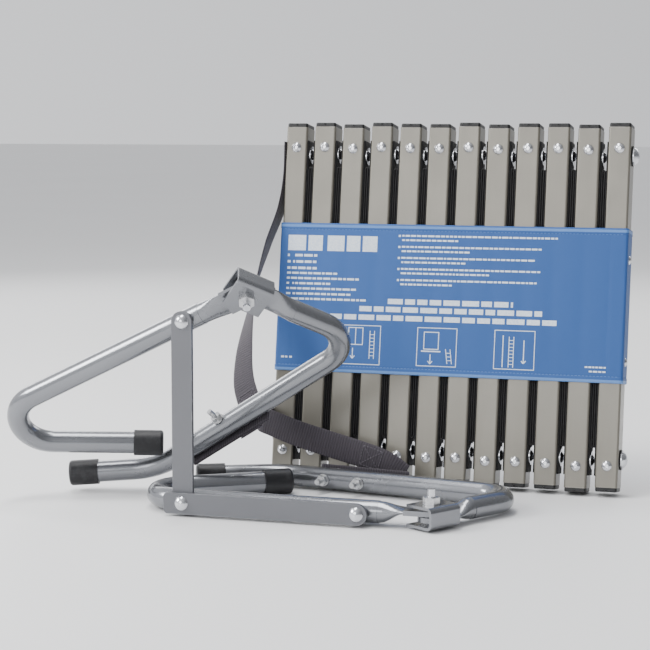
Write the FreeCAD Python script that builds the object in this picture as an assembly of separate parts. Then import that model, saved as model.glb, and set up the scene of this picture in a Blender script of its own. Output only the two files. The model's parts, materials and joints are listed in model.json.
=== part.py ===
"""Folded escape ladder: twelve rungs on webbing, two tube sill hooks and their folding spreader bars.

Units are millimetres.  X runs along the row of rungs, Y goes from the front of the rungs to their
back, and Z is up.  The origin is at the middle of the underside of the whole assembly's box.
"""
import FreeCAD, Part
import math
import os

V = FreeCAD.Vector

# Rung stack
RUNG_COUNT = 12
RUNG_PITCH = 28.7
RUNG_LENGTH = 343.0
RUNG_WIDTH = 21.0
RUNG_DEPTH = 25.0
RUNG_WALL = 1.5
RUNG_CORNER = 2.0
RUNG_STAGGER = 0.9
LEAN_DEG = 9.0
CAP_PLATE = 4.0
CAP_PLUG = 12.0
CAP_INSET = 0.8
FRONT_BOLT_INSET = 24.0
SIDE_RIVET_INSET = 30.0
FRONT_HEAD_RADIUS = 5.0
FRONT_HEAD_HEIGHT = 3.0
SHANK_RADIUS = 2.5
FRONT_SHANK = 7.5
SIDE_WASHER_RADIUS = 8.5
SIDE_WASHER = 1.0
SIDE_HEAD_RADIUS = 5.5
SIDE_HEAD_HEIGHT = 2.4
END_PAD_RADIUS = 9.5
END_WASHER_RADIUS = 9.0
END_HEAD_RADIUS = 8.0
END_HEAD_HEIGHT = 4.2
SOCKET_WIDTH = 3.6
SOCKET_DEPTH = 2.2

# Webbing between the rungs, and the sleeve round them
WEB_THICK = 1.6
WEB_WIDTH = 21.0
WEB_END = 14.0
WEB_FOLD_GAP = 10.0
SLEEVE_BOTTOM = 102.0
SLEEVE_TOP = 246.0
SLEEVE_THICK = 1.0
SLEEVE_GAP = 0.3
SLEEVE_CORNER = 2.5
SLEEVE_RIVET_RADIUS = 4.0
SLEEVE_RIVET_SHARES = (0.14, 0.80)

# Hooks: every size below is the same on both, which are a left and a right hand
TUBE_RADIUS = 10.0
TUBE_WALL = 1.5
INNER_LEG = 333.0
INNER_APEX_DEG = 33.6
INNER_RETURN = 201.0
INNER_BEND = 31.0
OUTER_LEG = 117.0
OUTER_APEX_DEG = 69.0
OUTER_LONG_LEG = 325.0
OUTER_BEND = 26.5
OUTER_TIP = 80.0
OUTER_TIP_DEG = 36.0
OUTER_TIP_BEND = 70.0
END_CAP_RADIUS = 11.8
END_CAP_LENGTH = 27.0
END_CAP_SKIRT = 24.0
TONGUE_HALF_WIDTH = 12.0
TONGUE_THICK = 4.4
TONGUE_OFFSET = 2.7
TONGUE_FLAT = 21.0
TONGUE_NECK = 46.0
NECK_STEP = 0.4
NECK_OVERLAP = 3.0
BRACKET_HEIGHT = 19.6
BRACKET_SHEET = 2.4
BRACKET_FRONT = 16.0
BRACKET_REAR = 19.0
BRACKET_WEB = 16.0
BRACKET_TIP = 14.0
BRACKET_BEND = 5.0
PIVOT_RADIUS = 3.4
PIVOT_HEAD_RADIUS = 6.5
PIVOT_HEAD_HEIGHT = 1.7
NUT_WIDTH = 13.0
NUT_HEIGHT = 6.0
PIVOT_STUB = 7.0
RUNNING_GAP = 0.06
STOP_BOLT_SPOTS = (161.0, 197.0)
STOP_BOLT_RADIUS = 2.5
STOP_BOLT_STUB = 9.0
STOP_HEAD_RADIUS = 5.0
STOP_HEAD_HEIGHT = 2.6
STOP_NUT_WIDTH = 9.0
STOP_NUT_HEIGHT = 4.4
STOP_WASHER_RADIUS = 5.6
STOP_WASHER = 0.9
PAD_START = 118.0
PAD_END = 210.0
PAD_WIDTH = 22.0
PAD_THICK = 3.3
PAD_GAP = 0.05
STRAP_LANDING = 142.0

# Spreader bars
BAR_WIDTH = 19.0
BAR_THICK = 4.0
BAR_PIVOTS = 160.0
BAR_SQUARE_END = 16.5
BAR_CORNER = 4.0
BAR_SPOT = 62.0
BAR_BOLT_RADIUS = 3.0
BAR_HEAD_RADIUS = 6.5
BAR_HEAD_HEIGHT = 3.6
BAR_GAP = 0.2

# Where the hooks lie: the lower one flat on the floor, the upper one propped up by the bars
LOWER_PIN = V(37.0, -176.0, END_CAP_RADIUS)
LOWER_SPREAD_DEG = 121.0
UPPER_SPREAD_DEG = 119.2
UPPER_SLOPE_DEG = 26.0
UPPER_ROLL_DEG = 39.0

# Webbing straps: where each runs, from the first rung's side to the pad behind its hook's outer tube
STRAP_WIDTH = 25.0
STRAP_THICK = 1.8
UPPER_STRAP_ROUTE = [
    V(-169.8, 61.4, 324), V(-169.8, 56.9, 290), V(-173, 48, 260), V(-181, 31, 226), V(-185, 9, 192),
    V(-184.5, -15, 160), V(-181.5, -38, 129), V(-175, -57.5, 102.5)]
UPPER_STRAP_TWIST = (0.0, 0.0, 0.04, 0.12, 0.3, 0.55, 0.8, 0.95, 1.0, 1.0, 1.0)
LOWER_STRAP_ROUTE = [
    V(-169.9, 27, 23), V(-169.9, 24.5, 37), V(-170.4, 19, 50), V(-172.2, 9, 59), V(-175, -3, 63),
    V(-176.5, -15, 64), V(-171, -23, 62.5), V(-158, -26.5, 59), V(-134, -28.8, 51.5), V(-104, -29.8, 43.5),
    V(-74, -30.5, 36), V(-49, -33.4, 29.5), V(-36.5, -36.0, 24.5), V(-24.5, -38.7, 17)]
LOWER_STRAP_TWIST = (0.0, 0.12, 0.35, 0.6, 0.82) + (1.0,) * 9


def unit(vector):
    """A copy of the vector, one millimetre long."""
    return V(vector).normalize()


def frame(origin, x_axis, y_axis):
    """The placement whose own X and Y run along the two given perpendicular axes."""
    x = unit(x_axis)
    y = unit(y_axis)
    z = x.cross(y)
    return FreeCAD.Placement(FreeCAD.Matrix(
        x.x, y.x, z.x, origin.x,
        x.y, y.y, z.y, origin.y,
        x.z, y.z, z.z, origin.z,
        0, 0, 0, 1))


def pointing(origin, direction):
    """The placement whose own Z runs along the direction."""
    return FreeCAD.Placement(origin, FreeCAD.Rotation(V(0, 0, 1), direction))


def placed(shape, placement):
    """A copy of the shape, moved by the placement."""
    copy = shape.copy()
    copy.transformShape(placement.toMatrix(), True)
    return copy


def group(shapes):
    """Separate solids that share one node."""
    return Part.makeCompound([solid for shape in shapes for solid in shape.Solids])


def rod(radius, start, end):
    """A round bar from one point to another."""
    along = end - start
    return Part.makeCylinder(radius, along.Length, start, unit(along))


def dome(radius, height):
    """A spherical cap that stands on Z = 0."""
    ball_radius = (radius * radius + height * height) / (2.0 * height)
    ball = Part.makeSphere(ball_radius, V(0, 0, height - ball_radius))
    return ball.common(Part.makeCylinder(radius + 1.0, height))


def domed_bolt(head_radius, head_height, shank_radius, shank):
    """A domed head on Z = 0, with its shank running down from there."""
    return dome(head_radius, head_height).fuse(rod(shank_radius, V(0, 0, -shank), V(0, 0, 0.2))).removeSplitter()


def hex_nut(width, height, bore):
    """A hexagonal nut that stands on Z = 0, with its corners turned off round."""
    prism = hexagon(width).extrude(V(0, 0, height))
    turned = dome(width / math.sqrt(3.0) + 0.1, height * 2.2).common(prism)
    return turned.cut(rod(bore, V(0, 0, -1), V(0, 0, height + 1)))


def bent_wire(points, radii):
    """Straight runs through the points, with one tangent arc at each corner."""
    edges = []
    start = points[0]
    for before, corner, after, radius in zip(points, points[1:], points[2:], radii):
        back = unit(before - corner)
        ahead = unit(after - corner)
        half = back.getAngle(ahead) / 2.0
        first = corner + back * (radius / math.tan(half))
        last = corner + ahead * (radius / math.tan(half))
        middle = corner + unit(back + ahead) * (radius / math.sin(half) - radius)
        edges.append(Part.LineSegment(start, first).toShape())
        edges.append(Part.Arc(first, middle, last).toShape())
        start = last
    edges.append(Part.LineSegment(start, points[-1]).toShape())
    return Part.Wire(edges)


def round_pipe(wire, radius, start, direction):
    """A solid round pipe along the wire."""
    profile = Part.Wire([Part.makeCircle(radius, start, direction)])
    return wire.makePipeShell([profile], True, False)


def turned(angle_deg, length=1.0):
    """A vector in the hook's plane, at an angle from the inner tube's leg."""
    angle = math.radians(angle_deg)
    return V(length * math.cos(angle), length * math.sin(angle), 0)


# ---------------------------------------------------------------- rung stack

def stack_placement():
    """The rungs lean back on their rear bottom edge."""
    lift = RUNG_DEPTH * math.sin(math.radians(LEAN_DEG))
    return FreeCAD.Placement(V(0, 0, lift), FreeCAD.Rotation(V(1, 0, 0), -LEAN_DEG))


def rung_x(number):
    return (number - (RUNG_COUNT - 1) / 2.0) * RUNG_PITCH


def rung_lift(number):
    """The rungs never line up exactly."""
    return RUNG_STAGGER * (1.0 + math.sin(2.4 * number))


def rounded_box(width, depth, height, corner, x=0.0, y=0.0, z=0.0):
    """An upright box, centred on X, with its upright edges rounded."""
    box = Part.makeBox(width, depth, height, V(x - width / 2.0, y, z))
    upright = [edge for edge in box.Edges if abs(edge.Vertexes[0].Z - edge.Vertexes[-1].Z) > height / 2.0]
    return box.makeFillet(corner, upright)


def side_rivet_levels():
    return (SIDE_RIVET_INSET, RUNG_LENGTH - SIDE_RIVET_INSET)


def make_rung(number):
    """A rectangular tube with holes for its two front bolts and two side rivets."""
    x = rung_x(number)
    z = rung_lift(number) + CAP_PLATE
    length = RUNG_LENGTH - 2.0 * CAP_PLATE
    outside = rounded_box(RUNG_WIDTH, RUNG_DEPTH, length, RUNG_CORNER, x, 0, z)
    inside = Part.makeBox(RUNG_WIDTH - 2 * RUNG_WALL, RUNG_DEPTH - 2 * RUNG_WALL, length + 2,
                          V(x - RUNG_WIDTH / 2 + RUNG_WALL, RUNG_WALL, z - 1))
    tube = outside.cut(inside)
    hole = SHANK_RADIUS + 0.1
    base = rung_lift(number)
    for level in (FRONT_BOLT_INSET, RUNG_LENGTH - FRONT_BOLT_INSET):
        tube = tube.cut(rod(hole, V(x, -1, base + level), V(x, RUNG_WALL + 1, base + level)))
    for level in side_rivet_levels():
        left = V(x - RUNG_WIDTH, RUNG_DEPTH / 2, base + level)
        right = V(x + RUNG_WIDTH, RUNG_DEPTH / 2, base + level)
        tube = tube.cut(rod(hole, left, right))
    return tube


def make_rung_cap(number, top):
    """A moulded end cap: a thin plate with a moulding notch in front, and a plug inside the tube."""
    x = rung_x(number)
    base = rung_lift(number)
    plate = rounded_box(RUNG_WIDTH - CAP_INSET, RUNG_DEPTH - CAP_INSET, CAP_PLATE, RUNG_CORNER, x,
                        CAP_INSET / 2, 0)
    plate = plate.makeFillet(1.2, [edge for edge in plate.Edges if edge.CenterOfMass.z > CAP_PLATE - 0.01])
    notch = Part.Face(Part.makePolygon([
        V(x - 2.4, -1, CAP_PLATE + 0.1), V(x + 2.4, -1, CAP_PLATE + 0.1), V(x, -1, 1.0),
        V(x - 2.4, -1, CAP_PLATE + 0.1)])).extrude(V(0, 3.2, 0))
    plug = Part.makeBox(RUNG_WIDTH - 2 * RUNG_WALL - 0.3, RUNG_DEPTH - 2 * RUNG_WALL - 0.3, CAP_PLUG,
                        V(x - RUNG_WIDTH / 2 + RUNG_WALL + 0.15, RUNG_WALL + 0.15, -CAP_PLUG))
    cap = plate.cut(notch).fuse(plug).removeSplitter()
    if top:
        cap.translate(V(0, 0, base + RUNG_LENGTH - CAP_PLATE))
        return cap
    cap.rotate(V(x, RUNG_DEPTH / 2, 0), V(0, 1, 0), 180)
    cap.translate(V(0, 0, base + CAP_PLATE))
    return cap


def hexagon(width):
    """A closed hexagon round the origin, this wide across its flats."""
    reach = width / math.sqrt(3.0)
    corners = [V(reach * math.cos(k * math.pi / 3.0), reach * math.sin(k * math.pi / 3.0), 0) for k in range(7)]
    return Part.Face(Part.makePolygon(corners))


def make_front_bolt(number, level):
    """A button-head bolt with a hexagon socket."""
    bolt = domed_bolt(FRONT_HEAD_RADIUS, FRONT_HEAD_HEIGHT, SHANK_RADIUS, FRONT_SHANK)
    socket = hexagon(SOCKET_WIDTH).extrude(V(0, 0, SOCKET_DEPTH + 1))
    socket.translate(V(0, 0, FRONT_HEAD_HEIGHT - SOCKET_DEPTH))
    bolt = bolt.cut(socket)
    return placed(bolt, pointing(V(rung_x(number), 0, rung_lift(number) + level), V(0, -1, 0)))


def make_side_rivet(number, level):
    """A rivet through the rung: washer and domed head on its right-hand side, larger on the last rung."""
    last = number == RUNG_COUNT - 1
    head = dome(END_HEAD_RADIUS, END_HEAD_HEIGHT) if last else dome(SIDE_HEAD_RADIUS, SIDE_HEAD_HEIGHT)
    head.translate(V(0, 0, SIDE_WASHER))
    washer = Part.makeCylinder(END_WASHER_RADIUS if last else SIDE_WASHER_RADIUS, SIDE_WASHER)
    shank = rod(SHANK_RADIUS, V(0, 0, -RUNG_WIDTH - 2 * WEB_THICK), V(0, 0, SIDE_WASHER + 0.2))
    rivet = washer.fuse(head).fuse(shank).removeSplitter()
    spot = V(rung_x(number) + RUNG_WIDTH / 2 + WEB_THICK, RUNG_DEPTH / 2, rung_lift(number) + level)
    return placed(rivet, pointing(spot, V(1, 0, 0)))


def web_slab(x, low, high):
    """One flat run of webbing beside a rung; x is the middle of its thickness."""
    return Part.makeBox(WEB_THICK, WEB_WIDTH, high - low,
                        V(x - WEB_THICK / 2, (RUNG_DEPTH - WEB_WIDTH) / 2, low))


def rivet_hole(x, level):
    middle = RUNG_DEPTH / 2
    return rod(SHANK_RADIUS + 0.1, V(x - 3, middle, level), V(x + 3, middle, level))


def make_web_fold(number, upper):
    """The slack webbing between two rungs, doubled in the gap beside the first."""
    left = rung_x(number) + RUNG_WIDTH / 2 + WEB_THICK / 2
    right = rung_x(number + 1) - RUNG_WIDTH / 2 - WEB_THICK / 2
    turn = (right - left) / 2.0
    middle = RUNG_LENGTH / 2.0
    if upper:
        end = RUNG_LENGTH - SIDE_RIVET_INSET + WEB_END
        fold = middle + WEB_FOLD_GAP / 2 + turn + WEB_THICK
    else:
        end = SIDE_RIVET_INSET - WEB_END
        fold = middle - WEB_FOLD_GAP / 2 - turn - WEB_THICK
    low = min(end, fold)
    high = max(end, fold)
    front = (RUNG_DEPTH - WEB_WIDTH) / 2
    centre = V((left + right) / 2, front, fold)
    ring = Part.makeCylinder(turn + WEB_THICK / 2, WEB_WIDTH, centre, V(0, 1, 0))
    ring = ring.cut(Part.makeCylinder(turn - WEB_THICK / 2, WEB_WIDTH, centre, V(0, 1, 0)))
    side = -1 if upper else 1
    half = Part.makeBox(4 * turn, WEB_WIDTH, 4 * turn, V(centre.x - 2 * turn, front, fold - (4 * turn if upper else 0)))
    web = ring.common(half).fuse([web_slab(left, low, high), web_slab(right, low, high)])
    level = end + side * WEB_END
    first_lift = rung_lift(number)
    second_lift = rung_lift(number + 1)
    web = web.removeSplitter().cut(rivet_hole(left, level + first_lift))
    return web.cut(rivet_hole(right, level + second_lift))


def make_end_pad(number, upper):
    """The webbing's end, trimmed round under the last rivet on the right-hand side."""
    x = rung_x(number) + RUNG_WIDTH / 2
    level = (RUNG_LENGTH - SIDE_RIVET_INSET if upper else SIDE_RIVET_INSET) + rung_lift(number)
    pad = rod(END_PAD_RADIUS, V(x, RUNG_DEPTH / 2, level), V(x + WEB_THICK, RUNG_DEPTH / 2, level))
    return pad.cut(rivet_hole(x + WEB_THICK / 2, level))


def sleeve_half_width():
    return rung_x(RUNG_COUNT - 1) + RUNG_WIDTH / 2 + SLEEVE_GAP + SLEEVE_THICK


def make_sleeve():
    """The printed sleeve that wraps the middle of the stack."""
    height = SLEEVE_TOP - SLEEVE_BOTTOM
    width = 2 * sleeve_half_width()
    depth = RUNG_DEPTH + 2 * (SLEEVE_GAP + SLEEVE_THICK)
    front = -SLEEVE_GAP - SLEEVE_THICK
    outside = rounded_box(width, depth, height, SLEEVE_CORNER, 0, front, SLEEVE_BOTTOM)
    inside = rounded_box(width - 2 * SLEEVE_THICK, depth - 2 * SLEEVE_THICK, height + 2,
                         SLEEVE_CORNER - SLEEVE_THICK, 0, front + SLEEVE_THICK, SLEEVE_BOTTOM - 1)
    return outside.cut(inside)


def make_sleeve_rivets():
    """Two snap rivets that close the sleeve on its right-hand side."""
    height = SLEEVE_TOP - SLEEVE_BOTTOM
    rivets = []
    for share in SLEEVE_RIVET_SHARES:
        spot = V(sleeve_half_width(), RUNG_DEPTH * 0.45, SLEEVE_BOTTOM + share * height)
        rivets.append(placed(dome(SLEEVE_RIVET_RADIUS, 2.0), pointing(spot, V(1, 0, 0))))
    return group(rivets)


def build_stack(parts):
    """Everything that leans with the rungs."""
    top_bolts = RUNG_LENGTH - FRONT_BOLT_INSET
    low_rivets, high_rivets = side_rivet_levels()
    numbers = range(RUNG_COUNT)
    gaps = range(RUNG_COUNT - 1)
    last = RUNG_COUNT - 1
    local = {"rung_%02d" % (number + 1): make_rung(number) for number in numbers}
    local["rung_caps_top"] = group([make_rung_cap(number, True) for number in numbers])
    local["rung_caps_bottom"] = group([make_rung_cap(number, False) for number in numbers])
    local["front_bolts_top"] = group([make_front_bolt(number, top_bolts) for number in numbers])
    local["front_bolts_bottom"] = group([make_front_bolt(number, FRONT_BOLT_INSET) for number in numbers])
    local["side_rivets_top"] = group([make_side_rivet(number, high_rivets) for number in numbers])
    local["side_rivets_bottom"] = group([make_side_rivet(number, low_rivets) for number in numbers])
    local["web_folds_top"] = group([make_web_fold(gap, True) for gap in gaps] + [make_end_pad(last, True)])
    local["web_folds_bottom"] = group([make_web_fold(gap, False) for gap in gaps] + [make_end_pad(last, False)])
    local["label_sleeve"] = make_sleeve()
    local["sleeve_rivets"] = make_sleeve_rivets()
    for name, shape in local.items():
        parts[name] = placed(shape, stack_placement())


# ---------------------------------------------------------------- hooks

def lower_hook_frame():
    """Flat on the floor: the inner leg points left and its return leg lies behind it."""
    return frame(LOWER_PIN, V(-1, 0, 0), V(0, 1, 0))


def bar_joint_low():
    return V(LOWER_PIN.x - BAR_SPOT, LOWER_PIN.y, LOWER_PIN.z)


def bar_joint_middle():
    return bar_joint_low() + V(-BAR_PIVOTS, 0, 0)


def bar_joint_high():
    return bar_joint_middle() + V(0, 0, BAR_PIVOTS)


def upper_leg_direction():
    slope = math.radians(UPPER_SLOPE_DEG)
    return V(-math.cos(slope), 0, -math.sin(slope))


def upper_hook_frame():
    """Propped on the bars: the inner leg slopes down to the left, the plane rolls back below it."""
    slope = math.radians(UPPER_SLOPE_DEG)
    roll = math.radians(UPPER_ROLL_DEG)
    leg = upper_leg_direction()
    below = V(math.sin(slope), 0, -math.cos(slope))
    return frame(bar_joint_high() - leg * BAR_SPOT, leg, below * math.cos(roll) + V(0, 1, 0) * math.sin(roll))


def tongue(direction_deg, side):
    """The flattened end of a tube, round its pivot hole, and the neck that swells to the full tube."""
    level = side * TONGUE_OFFSET
    disc = Part.makeCylinder(TONGUE_HALF_WIDTH, TONGUE_THICK, V(0, 0, level - TONGUE_THICK / 2))
    plate = Part.makeBox(TONGUE_FLAT + 1.0, 2 * TONGUE_HALF_WIDTH, TONGUE_THICK,
                         V(0, -TONGUE_HALF_WIDTH, level - TONGUE_THICK / 2))
    sections = []
    full = TUBE_RADIUS - NECK_STEP
    for share, beyond in ((0.0, 0), (0.2, 0), (0.4, 0), (0.6, 0), (0.8, 0), (1.0, 0), (1.0, NECK_OVERLAP)):
        swell = share * share * (3 - 2 * share)
        x = TONGUE_FLAT + share * (TONGUE_NECK - TONGUE_FLAT) + beyond
        major = TONGUE_HALF_WIDTH + swell * (full + 0.01 - TONGUE_HALF_WIDTH)
        minor = TONGUE_THICK / 2 + swell * (full - TONGUE_THICK / 2)
        middle = V(x, 0, level * (1 - swell))
        oval = Part.Ellipse(middle + V(0, major, 0), middle + V(0, 0, minor), middle)
        sections.append(Part.Wire([oval.toShape()]))
    neck = Part.makeLoft(sections, True, True)
    end = disc.fuse([plate, neck])
    end.rotate(V(0, 0, 0), V(0, 0, 1), direction_deg)
    return end


def pivot_hole():
    return rod(PIVOT_RADIUS + RUNNING_GAP, V(0, 0, -30), V(0, 0, 30))


def make_tube(points, radii, direction_deg, side):
    """One bent tube: flattened end at the pivot, hollow from its neck to its open end."""
    direction = turned(direction_deg)
    start = direction * TONGUE_NECK
    wire = bent_wire([start] + points, radii)
    outside = round_pipe(wire, TUBE_RADIUS, start, direction)
    bore_start = direction * (TONGUE_NECK + 2 * NECK_OVERLAP)
    bore_wire = bent_wire([bore_start] + points, radii)
    bore = round_pipe(bore_wire, TUBE_RADIUS - TUBE_WALL, bore_start, direction)
    body = outside.cut(bore).fuse(tongue(direction_deg, side))
    return body.cut(pivot_hole())


def inner_points():
    corner = V(INNER_LEG, 0, 0)
    return [corner, corner + turned(180 - INNER_APEX_DEG, INNER_RETURN)]


def outer_directions(spread):
    """Angles of the outer tube's leg, long leg and tip."""
    long_leg = spread - (180 - OUTER_APEX_DEG)
    return spread, long_leg, long_leg - OUTER_TIP_DEG


def outer_points(spread):
    leg, long_leg, tip = outer_directions(spread)
    corner = turned(leg, OUTER_LEG)
    knee = corner + turned(long_leg, OUTER_LONG_LEG - OUTER_TIP)
    return [corner, knee, knee + turned(tip, OUTER_TIP)]


def spot_on_long_leg(spread, distance):
    leg, long_leg, tip = outer_directions(spread)
    return turned(leg, OUTER_LEG) + turned(long_leg, distance)


def make_end_cap(end, direction):
    """A moulded cap that slips over the tube's open end."""
    start = end - direction * END_CAP_SKIRT
    shell = rod(END_CAP_RADIUS, start, start + direction * END_CAP_LENGTH)
    rim = [edge for edge in shell.Edges if (edge.CenterOfMass - start).dot(direction) > END_CAP_LENGTH - 0.01]
    shell = shell.makeFillet(2.8, rim)
    return shell.cut(rod(TUBE_RADIUS + 0.05, start - direction, end + direction * 0.05))


def make_bracket(spread):
    """A channel along the outer tube, whose web closes its outer side."""
    height = BRACKET_HEIGHT
    length = BRACKET_FRONT + BRACKET_REAR
    depth = BRACKET_WEB + BRACKET_TIP
    outside = Part.makeBox(length, depth, height, V(-BRACKET_FRONT, -BRACKET_TIP, -height / 2))
    bends = [edge for edge in outside.Edges
             if edge.CenterOfMass.y > BRACKET_WEB - 0.01 and abs(edge.CenterOfMass.x - length / 2 + BRACKET_FRONT) < 0.01]
    outside = outside.makeFillet(BRACKET_BEND, bends)
    inside = Part.makeBox(length + 2, depth, height - 2 * BRACKET_SHEET,
                          V(-BRACKET_FRONT - 1, -BRACKET_TIP - BRACKET_SHEET, -height / 2 + BRACKET_SHEET))
    inner_bends = [edge for edge in inside.Edges
                   if edge.CenterOfMass.y > BRACKET_WEB - BRACKET_SHEET - 0.01
                   and abs(edge.CenterOfMass.x - length / 2 + BRACKET_FRONT) < 0.01]
    inside = inside.makeFillet(BRACKET_BEND - BRACKET_SHEET, inner_bends)
    channel = outside.cut(inside).cut(pivot_hole())
    channel.rotate(V(0, 0, 0), V(0, 0, 1), spread)
    return channel


def make_strap_pad(spread):
    """The strap's doubled end, bolted flat against the far side of the outer tube."""
    long_leg = outer_directions(spread)[1]
    length = PAD_END - PAD_START
    pad = Part.makeBox(length, PAD_THICK, PAD_WIDTH, V(PAD_START, TUBE_RADIUS + PAD_GAP, -PAD_WIDTH / 2))
    for distance in STOP_BOLT_SPOTS:
        pad = pad.cut(rod(STOP_BOLT_RADIUS + 0.05, V(distance, 0, 0), V(distance, 40, 0)))
    corner = turned(spread, OUTER_LEG)
    return placed(pad, frame(corner, turned(long_leg), turned(long_leg + 90)))


def build_hook(parts, name, placement, spread, nut_side, bolt_direction):
    """One hook in its own plane: X along the inner leg, Y towards the return legs."""
    inner = make_tube(inner_points(), [INNER_BEND], 0.0, nut_side)
    outer = make_tube(outer_points(spread), [OUTER_BEND, OUTER_TIP_BEND], spread, -nut_side)
    long_leg, tip = outer_directions(spread)[1:]
    inward = turned(long_leg - 90)
    seat = TUBE_RADIUS + PAD_THICK + 2 * PAD_GAP
    bolts = []
    nuts = []
    for distance in STOP_BOLT_SPOTS:
        spot = spot_on_long_leg(spread, distance)
        outer = outer.cut(rod(STOP_BOLT_RADIUS + 0.05, spot - inward * 15, spot + inward * 15))
        shank = seat + TUBE_RADIUS + STOP_BOLT_STUB + STOP_NUT_HEIGHT
        bolt = domed_bolt(STOP_HEAD_RADIUS, STOP_HEAD_HEIGHT, STOP_BOLT_RADIUS, shank)
        bolts.append(placed(bolt, pointing(spot - inward * seat, inward * -1)))
        washer = rod(STOP_WASHER_RADIUS, V(0, 0, -STOP_WASHER), V(0, 0, 0))
        washer = washer.cut(rod(STOP_BOLT_RADIUS + 0.05, V(0, 0, -2), V(0, 0, 2)))
        nut = hex_nut(STOP_NUT_WIDTH, STOP_NUT_HEIGHT, STOP_BOLT_RADIUS + 0.05).fuse(washer)
        nuts.append(placed(nut, pointing(spot + inward * (TUBE_RADIUS + STOP_WASHER + PAD_GAP), inward)))
    inner_end = inner_points()[-1]
    outer_end = outer_points(spread)[-1]
    half = BRACKET_HEIGHT / 2
    pivot = domed_bolt(PIVOT_HEAD_RADIUS, PIVOT_HEAD_HEIGHT, PIVOT_RADIUS, 2 * half + NUT_HEIGHT + PIVOT_STUB)
    up = V(0, 0, nut_side)
    bore = placed(rod(BAR_BOLT_RADIUS + 0.05, V(0, 0, -30), V(0, 0, 30)),
                  pointing(V(BAR_SPOT, 0, 0), bolt_direction))
    local = {
        "inner_tube": inner.cut(bore),
        "outer_tube": outer,
        "bracket": make_bracket(spread),
        "pivot_bolt": placed(pivot, pointing(up * -half, up * -1)),
        "pivot_nut": placed(hex_nut(NUT_WIDTH, NUT_HEIGHT, PIVOT_RADIUS + 0.05), pointing(up * half, up)),
        "inner_cap": make_end_cap(inner_end, turned(180 - INNER_APEX_DEG)),
        "outer_cap": make_end_cap(outer_end, turned(tip)),
        "strap_pad": make_strap_pad(spread),
        "stop_bolts": group(bolts),
        "stop_nuts": group(nuts),
    }
    for part, shape in local.items():
        parts["%s_%s" % (name, part)] = placed(shape, placement)


def build_hooks(parts):
    lower = lower_hook_frame()
    upper = upper_hook_frame()
    forward = V(0, -1, 0)
    build_hook(parts, "lower_hook", lower, LOWER_SPREAD_DEG, -1, lower.Rotation.inverted().multVec(forward))
    build_hook(parts, "upper_hook", upper, UPPER_SPREAD_DEG, 1, upper.Rotation.inverted().multVec(forward))


# ---------------------------------------------------------------- spreader bars

def make_bar(reach, corner):
    """A flat bar from its round end at the hook, along +X, to its other end at the middle rivet."""
    half = BAR_WIDTH / 2
    round_end = Part.makeCylinder(half, BAR_THICK)
    length = BAR_PIVOTS + reach
    flat = Part.makeBox(length, BAR_WIDTH, BAR_THICK, V(0, -half, 0))
    corners = [edge for edge in flat.Edges
               if edge.CenterOfMass.x > length - 0.01 and abs(abs(edge.CenterOfMass.y) - half) < 0.01]
    bar = flat.makeFillet(corner, corners).fuse(round_end).removeSplitter()
    for x in (0.0, BAR_PIVOTS):
        bar = bar.cut(rod(BAR_BOLT_RADIUS + RUNNING_GAP, V(x, 0, -1), V(x, 0, BAR_THICK + 1)))
    return bar


def build_bars(parts):
    """The upright bar lies between the tubes and the level bar, and all three pivots run along Y."""
    face = LOWER_PIN.y - TUBE_RADIUS
    upper_back = face - BAR_GAP
    lower_back = upper_back - BAR_THICK - BAR_GAP
    front = lower_back - BAR_THICK
    low = bar_joint_low()
    middle = bar_joint_middle()
    high = bar_joint_high()
    level_bar = make_bar(BAR_SQUARE_END, BAR_CORNER)
    upright_bar = make_bar(BAR_WIDTH / 2, BAR_WIDTH / 2 - 0.1)
    level_frame = frame(V(low.x, front, low.z), V(-1, 0, 0), V(0, 0, 1))
    upright_frame = frame(V(high.x, upper_back - BAR_THICK, high.z), V(0, 0, -1), V(-1, 0, 0))
    parts["spreader_bar_lower"] = placed(level_bar, level_frame)
    parts["spreader_bar_upper"] = placed(upright_bar, upright_frame)
    through = 2 * TUBE_RADIUS + 2.0
    nut = hex_nut(10.0, 5.0, BAR_BOLT_RADIUS + 0.05)
    for name, joint, bar_front in (("lower", low, front), ("upper", high, upper_back - BAR_THICK)):
        seat = bar_front - BAR_GAP
        shank = face - seat + through + 4.0
        bolt = domed_bolt(BAR_HEAD_RADIUS, BAR_HEAD_HEIGHT, BAR_BOLT_RADIUS, shank)
        parts["bar_bolt_" + name] = placed(bolt, pointing(V(joint.x, seat, joint.z), V(0, -1, 0)))
        back = face + 2 * TUBE_RADIUS + 0.1
        parts["bar_nut_" + name] = placed(nut, pointing(V(joint.x, back, joint.z), V(0, 1, 0)))
    spacer = Part.makeCylinder(7.0, face - lower_back - 0.5 * BAR_GAP)
    spacer = spacer.cut(rod(BAR_BOLT_RADIUS + 0.05, V(0, 0, -1), V(0, 0, 20)))
    parts["bar_spacer"] = placed(spacer, pointing(V(low.x, face, low.z), V(0, -1, 0)))
    rivet = domed_bolt(BAR_HEAD_RADIUS, BAR_HEAD_HEIGHT, BAR_BOLT_RADIUS, 2 * BAR_THICK + 2 * BAR_GAP)
    parts["bar_rivet"] = placed(rivet, pointing(V(middle.x, front - BAR_GAP, middle.z), V(0, -1, 0)))


# ---------------------------------------------------------------- straps

def across(direction, wanted):
    """The wanted direction, turned square to the strap's own direction."""
    return unit(wanted - direction * wanted.dot(direction))


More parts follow.
